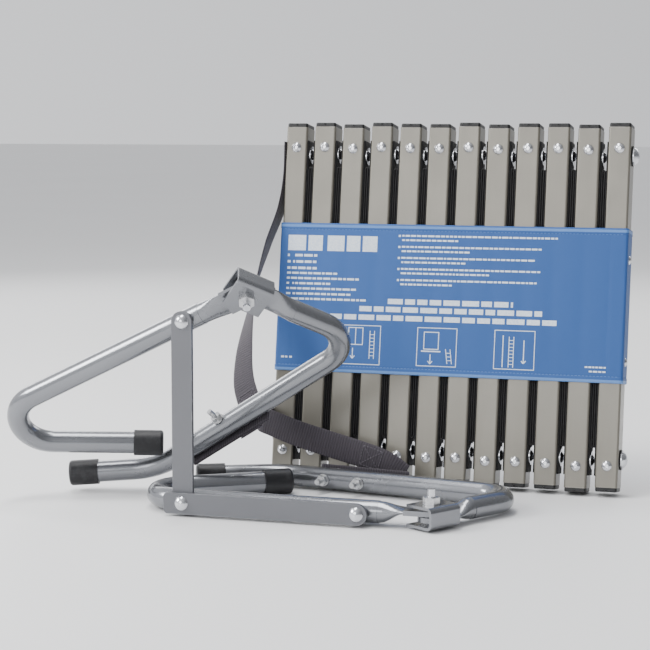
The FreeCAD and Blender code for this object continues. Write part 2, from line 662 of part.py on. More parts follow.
def make_strap(route, first_across, last_across, twist):
    """A flat strap along the route; its width turns from the first direction to the last."""
    sections = []
    for number, point in enumerate(route):
        before = route[max(number - 1, 0)]
        after = route[min(number + 1, len(route) - 1)]
        direction = unit(after - before)
        share = twist[number]
        side = across(direction, first_across * (1 - share) + last_across * share) * (STRAP_WIDTH / 2)
        face = unit(side.cross(direction)) * (STRAP_THICK / 2)
        corners = [point + side + face, point - side + face, point - side - face, point + side - face]
        sections.append(Part.makePolygon(corners + corners[:1]))
    return Part.makeLoft(sections, True, True)


def upper_pad_spot(off_middle):
    """A point on the upper hook's strap pad, this far from the tube's middle plane."""
    long_leg = outer_directions(UPPER_SPREAD_DEG)[1]
    proud = TUBE_RADIUS + PAD_THICK + 3 * PAD_GAP + STRAP_THICK / 2
    spot = spot_on_long_leg(UPPER_SPREAD_DEG, STRAP_LANDING) + turned(long_leg + 90, proud)
    return upper_hook_frame().multVec(spot + V(0, 0, off_middle))


def rivet_clearance(level):
    """The room a rivet needs where it passes through a strap beside the first rung."""
    x = rung_x(0) - RUNG_WIDTH / 2
    hole = rod(SHANK_RADIUS + 0.1, V(x - 4, RUNG_DEPTH / 2, level), V(x + 4, RUNG_DEPTH / 2, level))
    return placed(hole, stack_placement())


def build_straps(parts):
    rung_back = stack_placement().Rotation.multVec(V(0, 1, 0))
    tube = upper_hook_frame().Rotation.multVec(turned(outer_directions(UPPER_SPREAD_DEG)[1]))
    low_rivet, high_rivet = [level + rung_lift(0) for level in side_rivet_levels()]
    landing = [upper_pad_spot(-PAD_WIDTH / 2 - 6), upper_pad_spot(0), upper_pad_spot(PAD_WIDTH / 2)]
    upper = make_strap(UPPER_STRAP_ROUTE + landing, rung_back, tube, UPPER_STRAP_TWIST)
    upright = V(0, 0, 1)
    lower = make_strap(LOWER_STRAP_ROUTE, rung_back, upright, LOWER_STRAP_TWIST)
    parts["strap_upper"] = upper.cut(rivet_clearance(high_rivet))
    parts["strap_lower"] = lower.cut(rivet_clearance(low_rivet))


def bounds(parts):
    """The exact box of all the parts."""
    box = FreeCAD.BoundBox()
    for shape in parts.values():
        box.add(shape.optimalBoundingBox(True, False))
    return box


def main():
    parts = {}
    build_stack(parts)
    build_hooks(parts)
    build_bars(parts)
    build_straps(parts)
    os.makedirs("parts", exist_ok=True)
    box = bounds(parts)
    shift = V(-box.Center.x, -box.Center.y, -box.ZMin)
    for name, shape in parts.items():
        shape.translate(shift)
        shape.exportStep("parts/%s.step" % name)
    return parts


if __name__ == "__main__":
    main()
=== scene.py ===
"""Looks for the folded escape ladder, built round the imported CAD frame. Metres; Z is up."""
import json
import math
import random

import bpy
import numpy as np
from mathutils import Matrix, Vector


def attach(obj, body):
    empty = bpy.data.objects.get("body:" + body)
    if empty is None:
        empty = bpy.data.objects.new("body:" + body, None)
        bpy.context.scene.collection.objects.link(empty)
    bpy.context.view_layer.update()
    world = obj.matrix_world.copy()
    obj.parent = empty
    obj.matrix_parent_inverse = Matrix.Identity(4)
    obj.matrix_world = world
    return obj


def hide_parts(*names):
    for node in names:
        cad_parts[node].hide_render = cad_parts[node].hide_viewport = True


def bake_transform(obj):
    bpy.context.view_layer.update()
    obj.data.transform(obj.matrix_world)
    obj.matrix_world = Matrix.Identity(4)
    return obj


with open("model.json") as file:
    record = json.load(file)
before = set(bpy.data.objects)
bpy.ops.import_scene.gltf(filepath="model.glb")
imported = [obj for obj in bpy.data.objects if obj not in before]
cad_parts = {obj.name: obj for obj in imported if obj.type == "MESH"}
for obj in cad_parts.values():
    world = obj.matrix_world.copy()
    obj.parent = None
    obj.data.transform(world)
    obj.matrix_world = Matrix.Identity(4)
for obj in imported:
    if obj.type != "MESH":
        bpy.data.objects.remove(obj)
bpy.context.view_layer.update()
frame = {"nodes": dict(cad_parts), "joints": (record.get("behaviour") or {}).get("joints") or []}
nodes = frame["nodes"]
pins = {joint["name"]: Vector(joint["pos_m"]) for joint in frame["joints"]}

MM = 0.001
# How far the whole assembly was moved so that its box stands on the origin
SHIFT = Vector((95.187, 60.071, 0.0)) * MM
LEAN = math.radians(9.0)
LIFT = 3.911 * MM

RUNG_COUNT = 12
RUNG_PITCH = 28.7
RUNG_WIDTH = 21.0
RUNG_DEPTH = 25.0
RUNG_LENGTH = 343.0
STRAP_WIDTH = 25.0
STRAP_THICK = 1.8


def in_stack(x, y, z):
    """A point of the leaning rung stack, given in its own millimetres."""
    back = y * math.cos(LEAN) + z * math.sin(LEAN)
    up = z * math.cos(LEAN) - y * math.sin(LEAN)
    return Vector((x, back, up)) * MM + SHIFT + Vector((0, 0, LIFT))


def rung_x(number):
    return (number - (RUNG_COUNT - 1) / 2.0) * RUNG_PITCH


# ---------------------------------------------------------------- camera, light and floor

def make_camera():
    camera = bpy.data.objects.new("camera", bpy.data.cameras.new("camera"))
    bpy.context.scene.collection.objects.link(camera)
    bpy.context.scene.camera = camera
    camera.data.sensor_width = 36.0
    camera.data.lens = 106.4
    camera.data.clip_end = 60.0
    camera.location = (0.5266, -1.6815, 0.3510)
    target = Vector((-0.0073, 0.0264, 0.1557))
    camera.rotation_euler = (target - camera.location).to_track_quat("-Z", "Y").to_euler()


def area_light(name, place, aim, size, power, colour=(1.0, 1.0, 1.0)):
    lamp = bpy.data.lights.new(name, "AREA")
    lamp.shape = "RECTANGLE"
    lamp.size, lamp.size_y = size
    lamp.energy = power
    lamp.color = colour
    light = bpy.data.objects.new(name, lamp)
    bpy.context.scene.collection.objects.link(light)
    light.location = place
    light.rotation_euler = (Vector(aim) - Vector(place)).to_track_quat("-Z", "Y").to_euler()


def make_lights():
    area_light("key_left", (-1.9, -1.1, 1.5), (0.0, 0.0, 0.12), (0.9, 0.9), 54)
    area_light("fill_front", (-0.5, -2.6, 0.9), (0.0, 0.0, 0.15), (1.2, 0.9), 14)
    area_light("strip_top", (-0.3, 0.0, 1.9), (0.0, -0.05, 0.1), (1.6, 0.45), 26)
    area_light("rear_right", (0.5, 2.2, 1.1), (0.0, 0.0, 0.15), (1.0, 0.8), 10)
    area_light("rear_left", (-1.5, 1.7, 1.0), (0.0, 0.0, 0.15), (1.0, 0.8), 12)
    world = bpy.data.worlds.new("studio")
    bpy.context.scene.world = world
    world.use_nodes = True
    background = world.node_tree.nodes["Background"]
    background.inputs["Color"].default_value = (0.96, 0.97, 1.0, 1.0)
    # The room is brighter on its left, so that round and upright surfaces turn darker to the right
    sky = world.node_tree
    heading = shader(sky, "SeparateXYZ", inputs={"Vector": shader(sky, "TexCoord").outputs["Generated"]})
    bright = between(sky, heading.outputs["X"], -0.7, 0.9, 1.20, 0.26)
    sky.links.new(bright, background.inputs["Strength"])


# ---------------------------------------------------------------- materials

def shader(tree, kind, settings=None, inputs=None):
    """One shader node; an input that is given a socket is linked, any other is set."""
    made = tree.nodes.new("ShaderNode" + kind)
    for name, value in (settings or {}).items():
        setattr(made, name, value)
    for name, value in (inputs or {}).items():
        if isinstance(value, bpy.types.NodeSocket):
            tree.links.new(value, made.inputs[name])
        else:
            made.inputs[name].default_value = value
    return made


def start_material(name, inputs):
    material = bpy.data.materials.new(name)
    material.use_nodes = True
    tree = material.node_tree
    surface = tree.nodes["Principled BSDF"]
    for key, value in inputs.items():
        surface.inputs[key].default_value = value
    return material, tree, surface


def grey(value, alpha=1.0):
    return (value, value, value, alpha)


def noise(tree, place, scale, detail=4.0, rough=0.55, stretch=None):
    """Noise over a coordinate, in its own direction's scale if stretch is given."""
    if stretch:
        place = shader(tree, "Mapping", inputs={"Vector": place, "Scale": stretch}).outputs["Vector"]
    return shader(tree, "TexNoise", inputs={
        "Vector": place, "Scale": scale, "Detail": detail, "Roughness": rough}).outputs["Fac"]


def between(tree, value, low, high, to_low, to_high):
    return shader(tree, "MapRange", inputs={
        "Value": value, "From Min": low, "From Max": high,
        "To Min": to_low, "To Max": to_high}).outputs["Result"]


def maths(tree, operation, first, second=0.0):
    made = shader(tree, "Math", {"operation": operation})
    for socket, value in zip(made.inputs, (first, second)):
        if isinstance(value, bpy.types.NodeSocket):
            tree.links.new(value, socket)
        else:
            socket.default_value = value
    return made.outputs["Value"]


def mixed(tree, share, first, second):
    made = shader(tree, "Mix", {"data_type": "RGBA"}, {0: share})
    for number, value in ((6, first), (7, second)):
        if isinstance(value, bpy.types.NodeSocket):
            tree.links.new(value, made.inputs[number])
        else:
            made.inputs[number].default_value = value
    return made.outputs[2]


def bump(tree, surface, height, strength, distance):
    made = shader(tree, "Bump", inputs={"Height": height, "Strength": strength, "Distance": distance})
    tree.links.new(made.outputs["Normal"], surface.inputs["Normal"])
    return made


def object_place(tree):
    return shader(tree, "TexCoord").outputs["Object"]


def pale_edge_mask(tree, radius, place):
    """1 along edges and 0 elsewhere, broken up by noise."""
    soft = shader(tree, "Bevel", {"samples": 4}, {"Radius": radius}).outputs["Normal"]
    flat = shader(tree, "NewGeometry").outputs["Normal"]
    turn = shader(tree, "VectorMath", {"operation": "DOT_PRODUCT"}, {0: soft, 1: flat}).outputs["Value"]
    edge = between(tree, turn, 0.97, 0.80, 0.0, 1.0)
    patchy = between(tree, noise(tree, place, 90.0), 0.42, 0.62, 0.0, 1.0)
    return maths(tree, "MULTIPLY", edge, patchy)


def coated_metal(name, dark, light, metal, rough, streak=None, edge=None, coat=0.0, edge_radius=0.0012):
    """Enamel or plate over steel: two close shades, fine flakes, and paler edges if wanted."""
    material, tree, surface = start_material(name, {
        "Metallic": metal, "Coat Weight": coat, "Coat Roughness": 0.14})
    place = object_place(tree)
    cloudy = noise(tree, place, 9.0, 3.0)
    if streak:
        cloudy = maths(tree, "MULTIPLY_ADD", noise(tree, place, 60.0, 5.0, 0.6, streak), 0.7)
        cloudy.node.inputs[2].default_value = 0.12
    flakes = noise(tree, place, 1800.0, 2.0)
    share = maths(tree, "ADD", maths(tree, "MULTIPLY", cloudy, 0.7), maths(tree, "MULTIPLY", flakes, 0.25))
    colour = mixed(tree, share, dark, light)
    # Edges are mixed towards the paler edge colour, in patches.
    if edge:
        pale_share = maths(tree, "MULTIPLY", pale_edge_mask(tree, edge_radius, place), 0.75)
        colour = mixed(tree, pale_share, colour, edge)
    tree.links.new(colour, surface.inputs["Base Color"])
    spots = between(tree, noise(tree, place, 30.0, 5.0, 0.6), 0.3, 0.7, rough - 0.03, rough + 0.05)
    tree.links.new(spots, surface.inputs["Roughness"])
    grain = maths(tree, "ADD", noise(tree, place, 700.0, 2.0), maths(tree, "MULTIPLY", flakes, 0.5))
    bump(tree, surface, grain, 0.10, 0.00004)
    return material


def plated_metal(name, dark, light, rough):
    """Bright zinc plate, with a cloudy passivated film and turning marks."""
    material, tree, surface = start_material(name, {"Metallic": 1.0})
    place = object_place(tree)
    film = between(tree, noise(tree, place, 120.0, 5.0, 0.6), 0.3, 0.7, 0.0, 1.0)
    tree.links.new(mixed(tree, film, dark, light), surface.inputs["Base Color"])
    scuffs = between(tree, noise(tree, place, 420.0, 6.0, 0.7), 0.35, 0.7, rough, rough + 0.16)
    tree.links.new(scuffs, surface.inputs["Roughness"])
    bump(tree, surface, noise(tree, place, 1500.0, 3.0), 0.12, 0.00008)
    return material


def moulded_plastic(name, dark, light, rough, grain_scale):
    """Moulded rubbery plastic with a fine spark-eroded grain and dusty scuffs."""
    material, tree, surface = start_material(name, {"Specular IOR Level": 0.45})
    place = object_place(tree)
    dust = between(tree, noise(tree, place, 70.0, 6.0, 0.65), 0.5, 0.78, 0.0, 1.0)
    tree.links.new(mixed(tree, dust, dark, light), surface.inputs["Base Color"])
    tree.links.new(between(tree, dust, 0.0, 1.0, rough, rough + 0.2), surface.inputs["Roughness"])
    cells = shader(tree, "TexVoronoi", inputs={"Vector": place, "Scale": grain_scale}).outputs["Distance"]
    bump(tree, surface, cells, 0.28, 0.0002)
    return material


def strip_place(tree):
    """Distances across and along a strip, which its UV map holds in metres."""
    split = shader(tree, "SeparateXYZ", inputs={"Vector": shader(tree, "UVMap").outputs["UV"]})
    return split.outputs["X"], split.outputs["Y"]


def wave(tree, distance, pitch):
    """From 0 to 1 and back, once a pitch."""
    turned = maths(tree, "MULTIPLY", distance, 2 * math.pi / pitch)
    return between(tree, maths(tree, "SINE", turned), -1.0, 1.0, 0.0, 1.0)


def woven(name, dark, light, pitch_across, pitch_along, sheen, rough, depth, gradient=None, rib=0.0):
    """Plain or ribbed weave, on a strip's own across and along distances; a gradient, if given, is painted
    shade across the strip.
    """
    material, tree, surface = start_material(name, {"Sheen Weight": sheen, "Sheen Roughness": 0.45})
    across, along = strip_place(tree)
    place = object_place(tree)
    shifted = maths(tree, "ADD", along, maths(tree, "MULTIPLY", across, 0.5))
    warp = wave(tree, across, pitch_across)
    weft = wave(tree, shifted, pitch_along)
    height = maths(tree, "MAXIMUM", maths(tree, "MULTIPLY", warp, weft),
                   maths(tree, "MULTIPLY", maths(tree, "SUBTRACT", 1.0, warp),
                         maths(tree, "SUBTRACT", 1.0, weft)))
    fuzz = noise(tree, place, 900.0, 4.0, 0.6)
    cloudy = noise(tree, place, 22.0, 4.0, 0.6)
    if rib:
        height = maths(tree, "MULTIPLY", maths(tree, "ADD", height, 0.6), wave(tree, along, rib))
    uneven = maths(tree, "ADD", maths(tree, "MULTIPLY", fuzz, 0.25), maths(tree, "MULTIPLY", cloudy, 0.2))
    share = maths(tree, "ADD", maths(tree, "MULTIPLY", height, 0.6), uneven)
    colour = mixed(tree, share, dark, light)
    # Painted shade: across the given span the colour is mixed up to halfway towards the gradient's darker
    # colour, as if less light fell on that side.
    if gradient:
        side = between(tree, across, gradient[0], gradient[1], 0.0, 1.0)
        colour = mixed(tree, maths(tree, "MULTIPLY", side, 0.5), colour, gradient[2])
    tree.links.new(colour, surface.inputs["Base Color"])
    tree.links.new(between(tree, fuzz, 0.3, 0.7, rough - 0.06, rough + 0.1), surface.inputs["Roughness"])
    both = maths(tree, "ADD", height, maths(tree, "MULTIPLY", fuzz, 0.5))
    bump(tree, surface, both, 0.55, depth)
    return material


def make_materials():
    shades = {}
    shades["rung"] = coated_metal(
        "warm_grey_enamel", (0.175, 0.164, 0.136, 1), (0.255, 0.242, 0.208, 1), 0.45, 0.36,
        streak=(1.0, 1.0, 0.05), edge=(0.50, 0.49, 0.46, 1), coat=0.25)
    shades["tube"] = coated_metal(
        "silver_grey_enamel", (0.200, 0.206, 0.222, 1), (0.270, 0.278, 0.296, 1), 0.80, 0.24, coat=0.35)
    shades["bar"] = coated_metal(
        "grey_bar_enamel", (0.125, 0.128, 0.140, 1), (0.170, 0.174, 0.188, 1), 0.35, 0.46,
        edge=(0.42, 0.43, 0.45, 1), coat=0.10)
    shades["bolt"] = plated_metal("bright_plate", (0.56, 0.57, 0.60, 1), (0.80, 0.81, 0.84, 1), 0.14)
    shades["zinc"] = plated_metal("zinc_plate", (0.50, 0.51, 0.53, 1), (0.74, 0.74, 0.73, 1), 0.24)
    shades["rung_cap"] = moulded_plastic(
        "black_end_plug", (0.010, 0.010, 0.011, 1), (0.040, 0.040, 0.040, 1), 0.42, 1500)
    shades["tube_cap"] = moulded_plastic(
        "black_tube_cap", (0.010, 0.010, 0.012, 1), (0.042, 0.042, 0.045, 1), 0.46, 1100)
    shades["webbing"] = woven(
        "ribbed_webbing", (0.012, 0.010, 0.014, 1), (0.066, 0.055, 0.070, 1),
        0.0016, 0.0012, 0.20, 0.72, 0.0004, rib=0.0026)
    # The folded webbing is a much darker copy of the strap webbing: painted shade, near black, for the
    # narrow gaps between the rungs.
    shades["fold"] = woven(
        "fold_webbing_painted_shade", (0.005, 0.005, 0.005, 1), (0.020, 0.019, 0.021, 1),
        0.0016, 0.0012, 0.08, 0.80, 0.0004)
    # Painted shade: the sleeve's blue turns darker towards its right end, where less of the light from the
    # left falls.
    shades["sleeve"] = woven(
        "blue_sleeve_cloth", (0.013, 0.076, 0.290, 1), (0.038, 0.134, 0.395, 1),
        0.0009, 0.0009, 0.05, 0.55, 0.00012,
        gradient=(0.0, 0.34, (0.010, 0.066, 0.250, 1)))
    shades["hem"] = woven(
        "blue_hem_cloth", (0.060, 0.170, 0.460, 1), (0.150, 0.310, 0.640, 1),
        0.0009, 0.0009, 0.12, 0.50, 0.00012)
    shades["thread"] = woven(
        "stitch_thread", (0.050, 0.045, 0.058, 1), (0.170, 0.155, 0.180, 1),
        0.0004, 0.0004, 0.3, 0.60, 0.0001)
    shades["ink"] = make_ink()
    shades["floor"] = make_floor_material()
    return shades


def make_ink():
    """White print, a little thin where the cloth's threads show through it."""
    material, tree, surface = start_material("white_print", {"Specular IOR Level": 0.3})
    place = object_place(tree)
    thin = between(tree, noise(tree, place, 650.0, 5.0, 0.7), 0.42, 0.72, 0.0, 0.6)
    colour = mixed(tree, thin, (0.80, 0.86, 0.93, 1), (0.36, 0.52, 0.78, 1))
    tree.links.new(colour, surface.inputs["Base Color"])
    tree.links.new(between(tree, thin, 0.0, 0.6, 0.45, 0.7), surface.inputs["Roughness"])
    bump(tree, surface, thin, 0.2, 0.00008)
    return material


def make_floor_material():
    material, tree, surface = start_material("studio_floor", {"Roughness": 0.55, "Specular IOR Level": 0.2})
    cloudy = noise(tree, object_place(tree), 1.2, 2.0)
    tree.links.new(mixed(tree, cloudy, grey(0.86), grey(0.90)), surface.inputs["Base Color"])
    return material


# ---------------------------------------------------------------- mesh helpers

class Faces:
    """Points and faces that grow part by part and become one object."""

    def __init__(self):
        self.points = []
        self.faces = []
        self.places = []

    def grid(self, rows, closed_round=True, cap=True, places=None):
        """Rows of points, each a closed ring; the ends are capped."""
        base = len(self.points)
        count = len(rows[0])
        for number, row in enumerate(rows):
            self.points.extend(row)
            self.places.extend(places[number] if places else [(0.0, 0.0)] * count)
        for number in range(len(rows) - 1):
            low = base + number * count
            high = low + count
            for k in range(count if closed_round else count - 1):
                after = (k + 1) % count
                self.faces.append((low + k, low + after, high + after, high + k))
        if cap:
            self.faces.append(tuple(base + k for k in reversed(range(count))))
            top = base + (len(rows) - 1) * count
            self.faces.append(tuple(top + k for k in range(count)))

    def made(self, name, material, smooth=True):
        mesh = bpy.data.meshes.new(name)
        mesh.from_pydata([tuple(p) for p in self.points], [], self.faces)
        layer = mesh.uv_layers.new(name="UVMap")
        corners = np.empty(len(mesh.loops), dtype=np.int32)
        mesh.loops.foreach_get("vertex_index", corners)
        layer.data.foreach_set("uv", np.array(self.places, float)[corners].ravel())
        mesh.polygons.foreach_set("use_smooth", [smooth] * len(mesh.polygons))
        mesh.materials.append(material)
        mesh.validate()
        made = bpy.data.objects.new(name, mesh)
        bpy.context.scene.collection.objects.link(made)
        return made


def smooth_line(points, step):
    """Points evenly along one smooth curve through the given ones."""
    points = [np.array(p, float) for p in points]
    padded = [2 * points[0] - points[1]] + points + [2 * points[-1] - points[-2]]
    dense = []
    for a, b, c, d in zip(padded, padded[1:], padded[2:], padded[3:]):
        knots = [0.0]
        for first, second in ((a, b), (b, c), (c, d)):
            knots.append(knots[-1] + max(np.linalg.norm(second - first), 1e-9) ** 0.5)
        for share in np.linspace(0.0, 1.0, 24, endpoint=False):
            t = knots[1] + share * (knots[2] - knots[1])
            pairs = [(a, b, 0, 1), (b, c, 1, 2), (c, d, 2, 3)]
            level = [((knots[j] - t) * p + (t - knots[i]) * q) / (knots[j] - knots[i])
                     for p, q, i, j in pairs]
            level = [((knots[2] - t) * level[0] + (t - knots[0]) * level[1]) / (knots[2] - knots[0]),
                     ((knots[3] - t) * level[1] + (t - knots[1]) * level[2]) / (knots[3] - knots[1])]
            dense.append(((knots[2] - t) * level[0] + (t - knots[1]) * level[1]) / (knots[2] - knots[1]))
    dense.append(points[-1])
    dense = np.array(dense)
    lengths = np.concatenate([[0.0], np.cumsum(np.linalg.norm(np.diff(dense, axis=0), axis=1))])
    count = max(int(round(lengths[-1] / step)), 2)
    wanted = np.linspace(0.0, lengths[-1], count + 1)
    spots = np.stack([np.interp(wanted, lengths, dense[:, k]) for k in range(3)], axis=1)
    return spots, wanted, lengths[-1]


def strip_frames(centres, sides):
    """Unit directions along, across and out of a strip at each of its centres."""
    along = np.gradient(centres, axis=0)
    along /= np.linalg.norm(along, axis=1)[:, None]
    across = sides - along * np.sum(sides * along, axis=1)[:, None]
    across /= np.linalg.norm(across, axis=1)[:, None]
    out = np.cross(across, along)
    return along, across, out


def strip_rows(centres, sides, stations, width, thick, rib_pitch, rib_depth, columns=18):
    """Rings round a webbing strip: ribs across it, and thicker rounded edges."""
    along, across, out = strip_frames(centres, sides)
    shares = np.sin(np.linspace(-math.pi / 2, math.pi / 2, columns + 1))
    edge = np.sqrt(np.clip(1.0 - np.abs(shares) ** 12, 0.0, 1.0)) * 0.82 + 0.18
    rows = []
    places = []
    for number, station in enumerate(stations):
        rib = rib_depth * (0.5 + 0.5 * math.cos(2 * math.pi * station / rib_pitch))
        half = thick / 2 * edge - rib_depth + rib * (1.0 - 0.7 * np.abs(shares) ** 6)
        middle = centres[number] + np.outer(shares * width / 2, across[number])
        upper = middle + np.outer(half, out[number])
        lower = middle - np.outer(half, out[number])
        rows.append(list(upper) + list(lower[::-1]))
        flat = [(share * width / 2, station) for share in shares]
        places.append(flat + flat[::-1])
    return rows, places


# Along a stitch: how far along, how thick and how high its middle is, in shares of its size
STITCH_SHAPE = (
    (0.0, 0.35, -0.5), (0.18, 0.9, 0.15), (0.5, 1.0, 0.35), (0.82, 0.9, 0.15), (1.0, 0.35, -0.5))


def capsule(faces, start, end, radius, up, sides=6):
    """One raised stitch: a short thread that dives into the cloth at both ends."""
    start, end, up = (np.array(v, float) for v in (start, end, up))
    along = (end - start) / np.linalg.norm(end - start)
    side = np.cross(along, up)
    rows = []
    for share, swell, lift in STITCH_SHAPE:
        centre = start + (end - start) * share + up * radius * lift
        rows.append([centre + radius * swell * (math.cos(a) * side + math.sin(a) * up)
                     for a in (2 * math.pi * k / sides for k in range(sides))])
    faces.grid(rows)


class Strip:
    """A strap's surface, so that stitches can be laid on it by distance across and along."""

    def __init__(self, centres, sides, stations, thick):
        self.centres = np.array(centres)
        self.stations = np.array(stations)
        self.along, self.across, self.out = strip_frames(self.centres, np.array(sides))
        self.thick = thick

    def read(self, table, station):
        """A row of the table, read between its stations."""
        return np.array([np.interp(station, self.stations, table[:, k]) for k in range(3)])

    def spot(self, sideways, station, face):
        """A point of one face, and the direction that this face looks in."""
        out = self.read(self.out, station)
        out /= np.linalg.norm(out)
        middle = self.read(self.centres, station) + self.read(self.across, station) * sideways
        return middle + out * face * self.thick / 2, out * face

    def stitches(self, faces, start, end, face, pitch=0.0030, length=0.0023, radius=0.00042):
        """A row of stitches between two (across, along) spots."""
        distance = math.hypot(end[0] - start[0], end[1] - start[1])
        count = max(int(distance / pitch), 1)
        for number in range(count):
            low = (number + 0.12) / count
            high = low + length / pitch / count
            ends = [[a + (b - a) * share for a, b in zip(start, end)] for share in (low, high)]
            first, up = self.spot(*ends[0], face)
            second, up = self.spot(*ends[1], face)
            capsule(faces, first, second, radius, up)

    def box_stitches(self, faces, half_width, low, high, face):
        """A box with a cross in it."""
        corners = [(-half_width, low), (half_width, low), (half_width, high), (-half_width, high)]
        for first, second in zip(corners, corners[1:] + corners[:1]):
            self.stitches(faces, first, second, face)
        self.stitches(faces, corners[0], corners[2], face)
        self.stitches(faces, corners[1], corners[3], face)


# ---------------------------------------------------------------- straps

UPPER_STRAP_ROUTE = [
    (-169.8, 61.4, 324), (-169.8, 56.9, 290), (-173, 48, 260), (-181, 31, 226), (-185, 9, 192),
    (-184.5, -15, 160), (-181.5, -38, 129), (-175, -57.5, 102.5), (-160.6, -76.8, 77.5),
    (-155.9, -90.0, 67.9), (-152.9, -98.6, 61.7)]
UPPER_STRAP_TWIST = (0.0, 0.0, 0.04, 0.12, 0.3, 0.55, 0.8, 0.95, 1.0, 1.0, 1.0)
LOWER_STRAP_ROUTE = [
    (-169.9, 27, 23), (-169.9, 24.5, 37), (-170.4, 19, 50), (-172.2, 9, 59), (-175, -3, 63),
    (-176.5, -15, 64), (-171, -23, 62.5), (-158, -26.5, 59), (-134, -28.8, 51.5), (-104, -29.8, 43.5),
    (-74, -30.5, 36), (-49, -33.4, 29.5), (-36.5, -36.0, 24.5), (-24.5, -38.7, 17)]
LOWER_STRAP_TWIST = (0.0, 0.12, 0.35, 0.6, 0.82) + (1.0,) * 9
# How far along the upper strap its five pieces begin and end: all but the first lie in front of the rungs
UPPER_STRAP_CUTS = (0.0, 0.52, 0.63, 0.73, 0.83, 1.0)
# How far apart the points along a strap lie, in metres
STRAP_STEP = 0.0005
RIB_PITCH = 0.0026
# Half the width of the box stitching, and its ends' distances from the strap's own end
SEAM_HALF = 0.0092
UPPER_SEAM = (0.049, 0.029)
LOWER_SEAM = (0.047, 0.027)
RUNG_BACK = np.array((0.0, math.cos(LEAN), -math.sin(LEAN)))
# Along the long leg of the upper hook's outer tube
UPPER_TUBE_ALONG = np.array((-0.841, 0.090, -0.534))


def strap_line(route, twist, last_across):
    """The strap's middle line, with the direction of its width at each of its points."""
    points = [np.array(p) * MM + np.array(SHIFT) for p in route]
    centres, stations, length = smooth_line(points, STRAP_STEP)
    marks = np.concatenate([[0.0], np.cumsum([np.linalg.norm(b - a) for a, b in zip(points, points[1:])])])
    shares = np.interp(stations, marks * length / marks[-1], twist)
    sides = np.outer(1 - shares, RUNG_BACK) + np.outer(shares, last_across)
    return centres, stations, sides


def make_upper_strap(shades):
    """The strap follows the whole chain of hooks and bars, made as one length cut into five pieces."""
    centres, stations, sides = strap_line(UPPER_STRAP_ROUTE, UPPER_STRAP_TWIST, UPPER_TUBE_ALONG)
    rows, places = strip_rows(
        centres, sides, stations, STRAP_WIDTH * MM, STRAP_THICK * MM, RIB_PITCH, 0.00035)
    strip = Strip(centres, sides, stations, STRAP_THICK * MM)
    last = len(rows) - 1
    cuts = [int(last * share) for share in UPPER_STRAP_CUTS]
    made = []
    for number in range(len(cuts) - 1):
        first, final = cuts[number], cuts[number + 1]
        faces = Faces()
        faces.grid(rows[first:final + 1], places=places[first:final + 1])
        piece = faces.made("upper_strap_%d" % (number + 1), shades["webbing"])
        if number == len(cuts) - 2:
            seams = Faces()
            low, high = (stations[-1] - distance for distance in UPPER_SEAM)
            for face in (1, -1):
                strip.box_stitches(seams, SEAM_HALF, low, high, face)
            stitching = seams.made("upper_strap_stitching", shades["thread"])
            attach(stitching, "upper_outer")
        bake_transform(piece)
        made.append(piece)
    for piece in made:
        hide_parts("strap_upper")


def make_lower_strap(shades):
    """A limp strap that leaves the first rung, turns over and lies across to the lower hook."""
    upright = np.array((0.0, 0.0, 1.0))
    centres, stations, sides = strap_line(LOWER_STRAP_ROUTE, LOWER_STRAP_TWIST, upright)
    rows, places = strip_rows(
        centres, sides, stations, STRAP_WIDTH * MM, STRAP_THICK * MM, RIB_PITCH, 0.00030)
    faces = Faces()
    faces.grid(rows, places=places)
    strap = faces.made("lower_strap", shades["webbing"])
    strip = Strip(centres, sides, stations, STRAP_THICK * MM)
    seams = Faces()
    low, high = (stations[-1] - distance for distance in LOWER_SEAM)
    for face in (1, -1):
        strip.box_stitches(seams, SEAM_HALF, low, high, face)
    stitching = seams.made("lower_strap_stitching", shades["thread"])
    for piece in (strap, stitching):
        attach(piece, "stack")
    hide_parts("strap_lower")


# ---------------------------------------------------------------- strap pads on the hooks

OUTER_LEG = 117.0
TUBE_RADIUS = 10.0
PAD_START = 118.0
PAD_END = 210.0
PAD_WIDTH = 22.0
PAD_THICK = 3.3
# The corner that the outer tube turns through, from its leg to its long leg
OUTER_TURN = 111.0
UPPER_SLOPE = math.radians(26.0)
UPPER_ROLL = math.radians(39.0)


def upper_hook_axes():
    """The upper hook's own X slopes down along its inner leg; its plane rolls back below that."""
    leg = Vector((-math.cos(UPPER_SLOPE), 0, -math.sin(UPPER_SLOPE)))
    below = Vector((math.sin(UPPER_SLOPE), 0, -math.cos(UPPER_SLOPE)))
    return leg, below * math.cos(UPPER_ROLL) + Vector((0, 1, 0)) * math.sin(UPPER_ROLL)


# For each hook: its joint, the angle it is spread to, its own X and Y, and its outer tube's body
HOOKS = {
    "lower": ("lower_hook_fold", 121.0, (Vector((-1, 0, 0)), Vector((0, 1, 0))), "stack"),
    "upper": ("upper_hook_fold", 119.2, upper_hook_axes(), "upper_outer"),
}


def hook_spot(name, along_leg, off, out_of_plane):
    """A point beside the hook's long leg: along it, off it on the far side, and out of the hook's plane."""
    joint, spread, (x_axis, y_axis), body = HOOKS[name]
    z_axis = x_axis.cross(y_axis)
    steps = ((spread, OUTER_LEG), (spread - OUTER_TURN, along_leg), (spread - OUTER_TURN + 90, off))
    spot = z_axis * out_of_plane
    for angle_deg, length in steps:
        angle = math.radians(angle_deg)
        spot = spot + (x_axis * math.cos(angle) + y_axis * math.sin(angle)) * length
    return pins[joint] + spot * MM, z_axis


